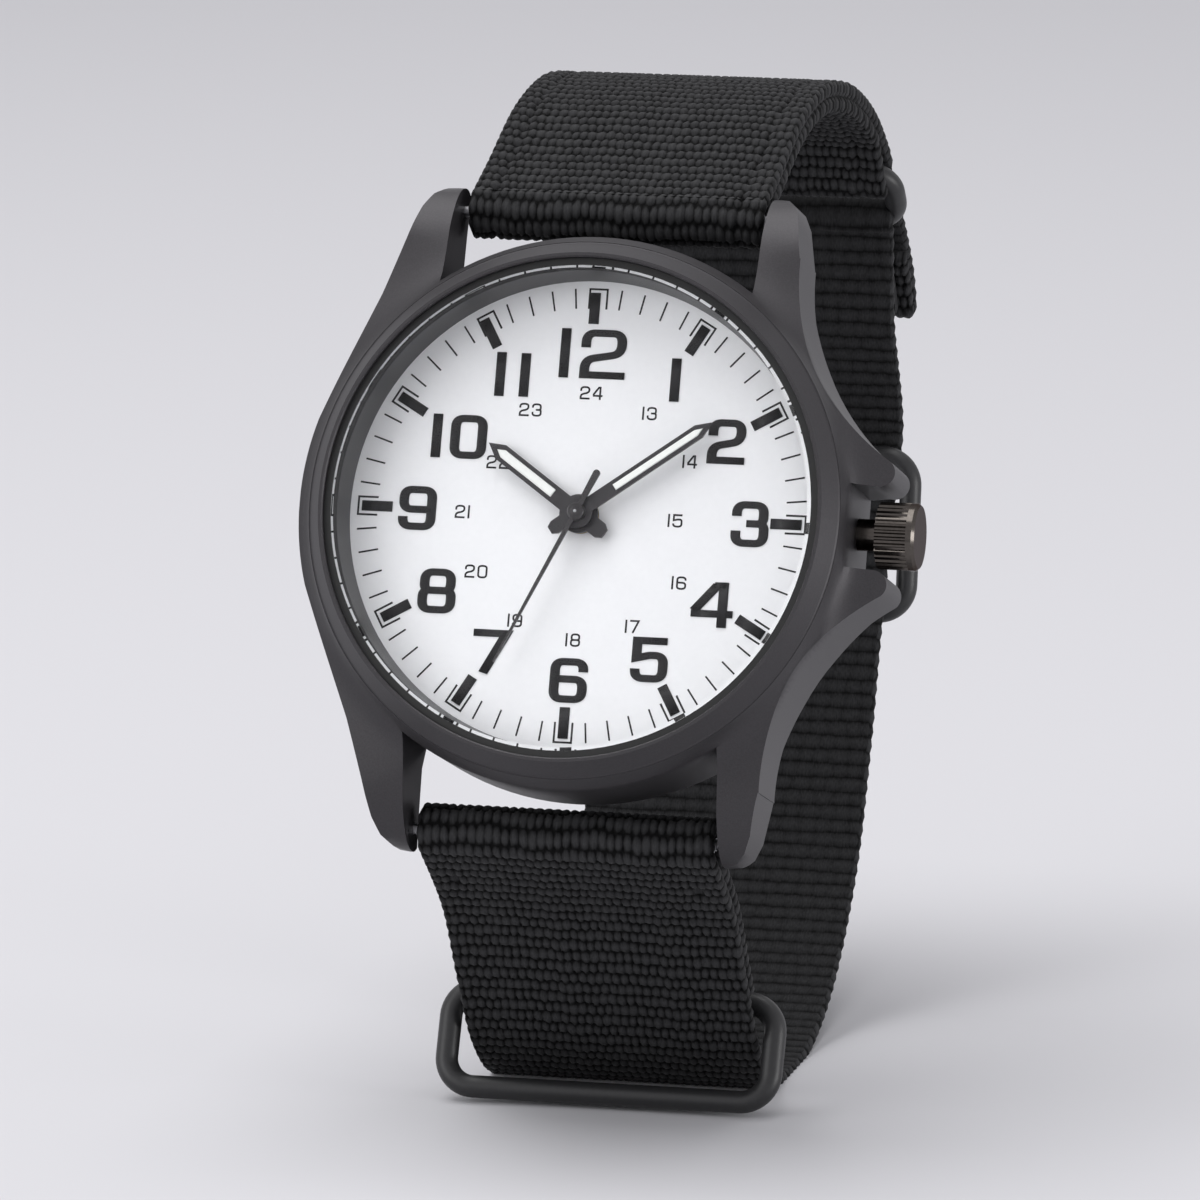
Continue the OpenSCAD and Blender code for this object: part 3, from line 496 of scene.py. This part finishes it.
def fill_slot(name, body, angle, first, last, point, half, low):
    """A strip of lume in a hand's slot: even from first to last, then narrow to its point."""
    shape = bmesh.new()
    rim = [shape.verts.new((x, y, low)) for x, y in (
        (-half, first), (half, first), (half, last), (0, point), (-half, last))]
    top = bmesh.ops.extrude_face_region(shape, geom=[shape.faces.new(rim)])["geom"]
    raised = [v for v in top if isinstance(v, bmesh.types.BMVert)]
    bmesh.ops.translate(shape, vec=(0, 0, lume_t), verts=raised)
    bmesh.ops.recalc_face_normals(shape, faces=shape.faces)
    ridge = [e for e in shape.edges if all(v in raised for v in e.verts)]
    bmesh.ops.bevel(shape, geom=ridge, offset=lume_round, segments=3, profile=0.5,
                    affect="EDGES", material=-1)
    on_hand = watch @ Matrix.Rotation(-math.radians(angle), 4, "Z") @ Matrix.Scale(mm, 4)
    bmesh.ops.transform(shape, matrix=on_hand, verts=shape.verts)
    piece = finished(name, shape, lume)
    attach(piece, body)


fill_slot("hour_lume", "hours", hour_angle, 2.3, 6.9, 7.44, 0.31, 0.52)
fill_slot("minute_lume", "minutes", minute_angle, 3.1, 9.9, 10.48, 0.24, 1.02)


# Cap of the seconds hand: a turned brass boss with a groove round it, black-plated
# with the hand and pressed on the arbor, whose polished end shows in its middle.
def turned(name, body, paint, profile):
    """A lathe piece on the dial's axis, from the radius and height of its profile's points."""
    shape = bmesh.new()
    line = [shape.verts.new((radius, 0, height)) for radius, height in profile]
    edges = [shape.edges.new(pair) for pair in zip(line, line[1:])]
    bmesh.ops.spin(shape, geom=line + edges, cent=(0, 0, 0), axis=(0, 0, 1),
                   angle=2 * math.pi, steps=64, use_merge=True)
    bmesh.ops.remove_doubles(shape, verts=shape.verts, dist=1e-4)
    bmesh.ops.recalc_face_normals(shape, faces=shape.faces)
    bmesh.ops.transform(shape, matrix=watch @ Matrix.Scale(mm, 4), verts=shape.verts)
    piece = finished(name, shape, paint)
    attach(piece, body)


# the cap takes the seconds hand's lighter plating, a painted highlight
turned("seconds_cap", "seconds", painted_highlight_plating,
       [(0, 1.72), (0.6, 1.72), (0.6, 1.8), (0.56, 1.84), (0.47, 1.86), (0.43, 1.78),
        (0.36, 1.78), (0.32, 1.88), (0.16, 1.9), (0.13, 1.82), (0, 1.82)])
arbor_steel = grained("arbor_steel", (0.45, 0.45, 0.46), (0.7, 0.7, 0.7), 5000, 0.3, 1.0, 1e-6)
turned("arbor_end", "seconds", arbor_steel,
       [(0, 1.78), (0.11, 1.78), (0.11, 1.88), (0.09, 1.91), (0.05, 1.93), (0, 1.935)])


# Crown, its tube and its stem: turned steel, plated in black nickel. The crown has
# rolled knurls and a smooth rim, and screws on the stem.
black_nickel = grained("black_nickel", (0.07, 0.062, 0.056), (0.12, 0.108, 0.098),
                       5000, 0.18, 1.0, 1e-6)
plating = black_nickel.node_tree.nodes["Principled BSDF"]
plating.inputs["Specular Tint"].default_value = (0.42, 0.4, 0.4, 1)
dress(black_nickel, "crown", "crown_tube", "stem")


# Rings of the strap: round wire, bent, welded and painted satin black. The closure
# ring hangs in the upper strap, and the two keepers run on the lower one.
dress(grained("wire_paint", (0.012, 0.012, 0.013), (0.022, 0.022, 0.023), 3000, 0.42, 0.0, 4e-6),
      "closure_ring", "front_keeper", "back_keeper")


# Hook and loop pads: black nylon tape, sewn to the tail and to the strap under it,
# so that the tail sticks where it is pressed down.
dress(grained("hook_and_loop", (0.004, 0.004, 0.005), (0.028, 0.028, 0.03), 4500, 0.95, 0.0,
              2.5e-4),
      "loop_pad", "hook_pad")


# Strap: black nylon webbing, woven 21.4 mm wide from thick yarn that stands up in
# rows of small oval knobs on its face and lies in flat ribs on its back.
row_pitch, knob_pitch = 1.08, 0.62
web_w, web_t = 21.4, 1.15
# the weave, the same in its painted hollow shade and in form: pitch, sway of each row, fall
# across, fall along
knob_form = (knob_pitch, 0.14, 0.68, 0.88)
rib_form = (2 * knob_pitch, 0.2, 0.22, 0.7)
ripples = ((0.8, 0.07), (3.3, 0.05))        # waves of a row: rate across, reach in rows
sway_rate = 2.4
drift_rate, drift_row, drift_share = 1.5, 2.7, 0.6
uneven_bump, uneven_row, uneven_share = 5.3, 3.1, 0.2
rib_share = 0.78                            # how high the ribs stand beside the knobs, in relief and in the painted hollow shade
back_map = 100        # the map of the webbing's back lies this far beside that of its face


def woven():
    """Nylon that follows knobs and ribs on the piece's own map: millimetres across, rows along;
    painted shade darkens its colour in the hollows between them.
    """
    material, shader = matt("nylon_webbing", (0.02, 0.02, 0.021), 0.8)
    shader.inputs["Specular IOR Level"].default_value = 0.12
    shader.inputs["Sheen Weight"].default_value = 0.04
    shader.inputs["Sheen Roughness"].default_value = 0.4
    nodes, links = material.node_tree.nodes, material.node_tree.links

    def calc(operation, first, second=None, third=None):
        node = nodes.new("ShaderNodeMath")
        node.operation = operation
        for socket, value in zip(node.inputs, (first, second, third)):
            if isinstance(value, (int, float)):
                socket.default_value = value
            elif value is not None:
                links.new(value, socket)
        return node.outputs[0]

    def wave(value, rate, reach):
        return calc("MULTIPLY", calc("SINE", calc("MULTIPLY", value, rate)), reach)

    place = nodes.new("ShaderNodeUVMap")
    place.uv_map = "weave"
    parts = nodes.new("ShaderNodeSeparateXYZ")
    links.new(place.outputs["UV"], parts.inputs[0])
    is_back = calc("GREATER_THAN", parts.outputs[0], back_map / 2)
    x = calc("MULTIPLY_ADD", is_back, -back_map, parts.outputs[0])
    is_face = calc("SUBTRACT", 1.0, is_back)
    ripple = calc("ADD", *(wave(x, rate, reach) for rate, reach in ripples))
    rows = calc("ADD", parts.outputs[1], calc("MULTIPLY", ripple, is_face))
    row = calc("ROUND", rows)
    odd = calc("MODULO", calc("ABSOLUTE", row), 2)

    def bumps(pitch, sway, across_fall, along_fall):
        count = calc("ADD", calc("DIVIDE", x, pitch), calc("MULTIPLY", odd, 0.5))
        count = calc("ADD", count, wave(row, sway_rate, sway))
        drift = calc("MULTIPLY_ADD", row, drift_row, x)
        count = calc("ADD", count, wave(drift, drift_rate, drift_share * sway))
        which = calc("ROUND", count)
        near = calc("MULTIPLY", calc("SUBTRACT", count, which), 2)
        beside = calc("MULTIPLY", calc("SUBTRACT", rows, row), 2)
        fall = calc("ADD", calc("MULTIPLY", calc("MULTIPLY", near, near), across_fall),
                    calc("MULTIPLY", calc("MULTIPLY", beside, beside), along_fall))
        uneven = calc("SINE", calc("ADD", calc("MULTIPLY", which, uneven_bump),
                                   calc("MULTIPLY", row, uneven_row)))
        fall = calc("MULTIPLY", fall, calc("MULTIPLY_ADD", uneven, uneven_share, 1.0))
        return calc("SQRT", calc("MAXIMUM", calc("SUBTRACT", 1.0, fall), 0.0))

    lift = calc("ADD", calc("MULTIPLY", bumps(*knob_form), is_face),
                calc("MULTIPLY", bumps(*rib_form), calc("MULTIPLY", is_back, rib_share)))
    fibre_lift, full_lift = 0.6, 1.55
    fibres = nodes.new("ShaderNodeTexNoise")
    fibres.inputs["Scale"].default_value = 1.0
    fibres.inputs["Detail"].default_value = 4
    spread = nodes.new("ShaderNodeMapping")
    spread.inputs["Scale"].default_value = (8, 3, 1)
    links.new(place.outputs["UV"], spread.inputs["Vector"])
    links.new(spread.outputs["Vector"], fibres.inputs["Vector"])
    height = calc("MULTIPLY_ADD", fibres.outputs["Fac"], fibre_lift, lift)
    # painted shade: the colour runs from near black in the hollows between knobs and rows, where
    # shade falls, to dark grey on their tops
    hollow_shade_ramp = nodes.new("ShaderNodeValToRGB")
    hollow_shade_ramp.color_ramp.elements[0].position = 0.45
    hollow_shade_ramp.color_ramp.elements[0].color = (0.002, 0.002, 0.0022, 1)
    hollow_shade_ramp.color_ramp.elements[1].position = 0.88
    hollow_shade_ramp.color_ramp.elements[1].color = (0.040, 0.040, 0.042, 1)
    links.new(calc("DIVIDE", height, full_lift), hollow_shade_ramp.inputs["Fac"])
    links.new(hollow_shade_ramp.outputs["Color"], shader.inputs["Base Color"])
    relief = nodes.new("ShaderNodeBump")
    relief.inputs["Strength"].default_value = relief_strength
    relief.inputs["Distance"].default_value = 1.8e-4
    links.new(height, relief.inputs["Height"])
    links.new(relief.outputs["Normal"], shader.inputs["Normal"])
    return material


nylon = woven()


def through_points(points, per_span=40):
    """A smooth line through the points, the same as the plain strap follows."""
    p = np.array(points, float)
    line = []
    for i in range(len(p) - 1):
        a, b, c, d = p[max(i - 1, 0)], p[i], p[i + 1], p[min(i + 2, len(p) - 1)]
        for t in np.linspace(0, 1, per_span, endpoint=False):
            line.append((2 * b + (c - a) * t + (2 * a - 5 * b + 4 * c - d) * t ** 2
                         + (3 * b - a - 3 * c + d) * t ** 3) / 2)
    return np.array(line + [p[-1]])


def shifted(line, distance):
    """The line moved to its left by one distance, or by one for each point."""
    run = np.gradient(line, axis=0)
    run /= np.linalg.norm(run, axis=1)[:, None]
    return line + np.stack([-run[:, 1], run[:, 0]], 1) * np.reshape(distance, (-1, 1))


def round_wire(centre, radius, first, last, count=24):
    """Points of an arc round a bar or a ring's wire, its ends left out; angles in degrees."""
    angle = np.radians(np.linspace(first, last, count + 2)[1:-1])
    return np.array(centre) + radius * np.stack([np.cos(angle), np.sin(angle)], 1)


edge_round = 0.35
edge_turn = np.radians([60, 20, -20, -60])
back_points = 20
knob_high, rib_high, bump_middle = 0.3, 0.09, 0.85
seam_deep, seam_wide = 0.18, 0.2
stitch_deep, stitch_wide, stitch_long = 0.5, 0.32, 0.4
edge_wave = 0.05
table_gap = 2e-5


def webbing(name, line, left_is_face, closed=False, seams=(), stitches=()):
    """A band of webbing along a middle line: a grid wrapped round it, with its knobs raised."""
    if closed:
        line = np.vstack([line, line[:1]])
    reach = np.concatenate([[0], np.cumsum(np.linalg.norm(np.diff(line, axis=0), axis=1))])
    along = 4 * 2 * round(reach[-1] / row_pitch / 2)
    stations = np.linspace(0, reach[-1], along + 1)
    y = np.interp(stations, reach, line[:, 0])
    z = np.interp(stations, reach, line[:, 1])
    way = np.stack([np.gradient(y), np.gradient(z)], 1)
    if closed:
        way[0] = way[-1] = [y[1] - y[-2], z[1] - z[-2]]
    way /= np.linalg.norm(way, axis=1)[:, None]
    face = np.stack([-way[:, 1], way[:, 0]], 1) * (1 if left_is_face else -1)
    # once round the band: across its face, round an edge, back under it, round the other edge
    step = knob_pitch / 4
    flat_half = math.floor((web_w / 2 - edge_round) / step) * step
    face_x = np.arange(-flat_half, flat_half + step / 2, step)
    back_x = np.linspace(flat_half, -flat_half, back_points)
    edge_x, edge_z = flat_half + edge_round * np.cos(edge_turn), 0.5 * np.sin(edge_turn)
    across = np.concatenate([face_x, edge_x, back_x, -edge_x[::-1]])
    lift = np.concatenate([np.full(len(face_x), 0.5), edge_z,
                           np.full(back_points, -0.5), edge_z[::-1]])
    part = np.repeat([1, 0, 2, 0], [len(face_x), len(edge_x), back_points, len(edge_x)])
    around = len(across)

    shape = bmesh.new()
    bmesh.ops.create_grid(shape, x_segments=around, y_segments=along, size=1)
    mesh = bpy.data.meshes.new(name)
    shape.to_mesh(mesh)
    flat = np.zeros(len(mesh.vertices) * 3, np.float32)
    mesh.vertices.foreach_get("co", flat)
    flat = flat.reshape(-1, 3)
    i = np.round((flat[:, 0] + 1) / 2 * around).astype(int)
    j = np.round((flat[:, 1] + 1) / 2 * along).astype(int)
    k = i % around
    x = across[k]
    on_edge, on_face, on_back = part[k] == 0, part[k] == 1, part[k] == 2
    rows = j / 4 + np.where(on_face, sum(far * np.sin(rate * x) for rate, far in ripples), 0)
    row = np.round(rows)

    def bumps(pitch, sway, across_fall, along_fall):
        count = x / pitch + 0.5 * (row % 2) + sway * np.sin(sway_rate * row)
        count = count + drift_share * sway * np.sin(drift_rate * (x + drift_row * row))
        which = np.round(count)
        uneven = np.sin(uneven_bump * which + uneven_row * row)
        fall = across_fall * (2 * (count - which)) ** 2 + along_fall * (2 * (rows - row)) ** 2
        return np.sqrt(np.maximum(1 - fall * (1 + uneven_share * uneven), 0))

    height = lift[k] * web_t
    height += np.where(on_face, knob_high * (bumps(*knob_form) - bump_middle), 0)
    height -= np.where(on_back, rib_high * (bumps(*rib_form) - bump_middle), 0)
    for seam in seams:
        groove = np.exp(-((np.abs(x) - seam) / seam_wide) ** 2)
        height -= np.where(on_face, seam_deep * groove, 0)
    for aside, spot in stitches:
        away = ((np.abs(x) - aside) / stitch_wide) ** 2
        away += ((y[j] - spot[0]) ** 2 + (z[j] - spot[1]) ** 2) / stitch_long ** 2
        height -= np.where(on_face, stitch_deep * np.exp(-away), 0)
    x = x - np.where(on_edge, np.sign(x) * edge_wave * (1 - np.cos(np.pi * j / 2)), 0)
    co = np.stack([x, y[j] + face[j, 0] * height, z[j] + face[j, 1] * height], 1) * mm
    co[:, 2] = np.maximum(co[:, 2], table_gap)
    mesh.vertices.foreach_set("co", co.astype(np.float32).ravel())
    corner = np.zeros(len(mesh.loops), np.int32)
    mesh.loops.foreach_get("vertex_index", corner)
    column = i[corner].reshape(-1, 4).min(axis=1)
    is_back = (part[column % around] == 2) | (part[(column + 1) % around] == 2)
    spread = np.stack([across[k], j / 4], 1)[corner]
    spread[:, 0] += np.repeat(np.where(is_back, back_map, 0), 4)
    mapped = mesh.uv_layers.new(name="weave")
    mapped.data.foreach_set("uv", spread.astype(np.float32).ravel())
    shape.clear()
    shape.from_mesh(mesh)
    bmesh.ops.remove_doubles(shape, verts=shape.verts, dist=weld)
    rims = [e for e in shape.edges if e.is_boundary]
    if rims:
        bmesh.ops.holes_fill(shape, edges=rims, sides=0)
    bmesh.ops.recalc_face_normals(shape, faces=shape.faces)
    for f in shape.faces:
        f.smooth = True
    shape.to_mesh(mesh)
    shape.free()
    mesh.materials.append(nylon)
    piece = bpy.data.objects.new(name, mesh)
    bpy.context.scene.collection.objects.link(piece)
    return piece


def stand(back, up):
    """A point of the side view, in millimetres, from one measured at the dial's centre."""
    return back + dial_back, up + dial_up


def on_case(up, deep):
    """A point of the side view from its height and its depth on the leaning case."""
    return np.array(stand(up * math.sin(lean) + deep * math.cos(lean),
                          up * math.cos(lean) - deep * math.sin(lean)))


bar_reach, bar_deep = 21.8, 3.9
upper_bar, lower_bar = on_case(bar_reach, bar_deep), on_case(-bar_reach, bar_deep)
bar_eye, wire_eye = 1.85, 2.0     # outer radius of the webbing round a bar and round a ring's wire
half_t = web_t / 2
upper_out, lower_out = np.array([-0.35, 0.937]), np.array([-0.67, -0.742])
closure_out, tail_out = np.array([0.6, 0.8]), np.array([0.85, 0.527])
upper_end = np.array(stand(52.8, 18.2))
closure_high = upper_end - wire_eye * closure_out
closure_low = closure_high + 5.2 * np.array([0.628, -0.778])


def bearing(way):
    """The angle of a way in the side view, in degrees."""
    return math.degrees(math.atan2(way[1], way[0]))


# Upper strap: one length of webbing that goes round the spring bar and round the
# upper wire of the closure ring, its two layers sewn together along both edges.
outer = through_points([upper_bar + bar_eye * upper_out, stand(15, 22.4), stand(22.5, 25.1),
                        stand(30.5, 26.1), stand(38, 25.2), stand(44, 23.4), stand(48.8, 21.1),
                        upper_end])
span = np.linspace(0, 7, len(outer))
depth = np.interp(span, [0, 0.8, 6.1, 7], [2 * bar_eye, 2 * web_t, 2 * web_t, 2 * wire_eye])
from_bar, at_ring = bearing(upper_out), bearing(closure_out)
upper_line = np.vstack([shifted(outer, -half_t),
                        round_wire(closure_high, wire_eye - half_t, at_ring, at_ring - 180),
                        shifted(outer, -(depth - half_t))[::-1],
                        round_wire(upper_bar, bar_eye - half_t, from_bar - 180, from_bar - 360)])
upper = webbing("upper_webbing", upper_line, True, closed=True, seams=(8.8,))
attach(upper, "case")
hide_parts("upper_strap")


# Lower strap: one length of webbing from the fold round the closure ring's lower
# wire, down and round under the wrist space and up to the bar, where it is turned
# round the bar and sewn to itself.
outer = through_points([lower_bar + bar_eye * lower_out, stand(1.2, -28.6), stand(5.2, -34.5),
                        stand(9.5, -40.3), stand(15.5, -43.9), stand(24.5, -44.3),
                        stand(34, -41.2), stand(42.2, -34.2), stand(47.2, -25.6),
                        stand(50.4, -18.2), stand(53.9, -11.3), stand(57.6, -5.2),
                        stand(57.8, -2), stand(56.1, 1.9), stand(54.6, 5.5),
                        closure_low - 0.85 * tail_out])
span = np.linspace(0, 15, len(outer))
doubled = span <= 2.2
depth = np.interp(span, [0, 0.45, 2.2], [2 * bar_eye, 2 * web_t, 2 * web_t])
from_bar, at_fold = bearing(lower_out), bearing(tail_out)
lower_line = np.vstack([shifted(outer, depth - half_t)[doubled][::-1],
                        round_wire(lower_bar, bar_eye - half_t, from_bar - 180, from_bar),
                        shifted(outer, half_t),
                        round_wire(closure_low, wire_eye - half_t, at_fold + 180, at_fold)])
stitch_spot = shifted(outer, half_t)[22]
lower = webbing("lower_webbing", lower_line, False, stitches=((8.7, stitch_spot),))
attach(lower, "case")
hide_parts("lower_strap")


# Tail: the free end of the lower strap, which leaves the fold round the closure
# ring and is turned in and sewn at its tip.
outer = through_points([closure_low + wire_eye * tail_out, stand(59.2, 10.9), stand(61.4, 8.1),
                        stand(62.5, 5.7)])
span = np.linspace(0, 3, len(outer))
tip = bearing(outer[-1] - outer[-2]) + 90
tip_way = np.array([math.cos(math.radians(tip)), math.sin(math.radians(tip))])
turn_centre = outer[-1] - web_t * tip_way
tail_line = np.vstack([shifted(outer, -half_t),
                       round_wire(turn_centre, half_t, tip, tip - 180, 8),
                       shifted(outer, -1.5 * web_t)[span >= 1.2][::-1]])
tail = webbing("tail_webbing", tail_line, True)
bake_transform(tail)
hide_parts("strap_tail")
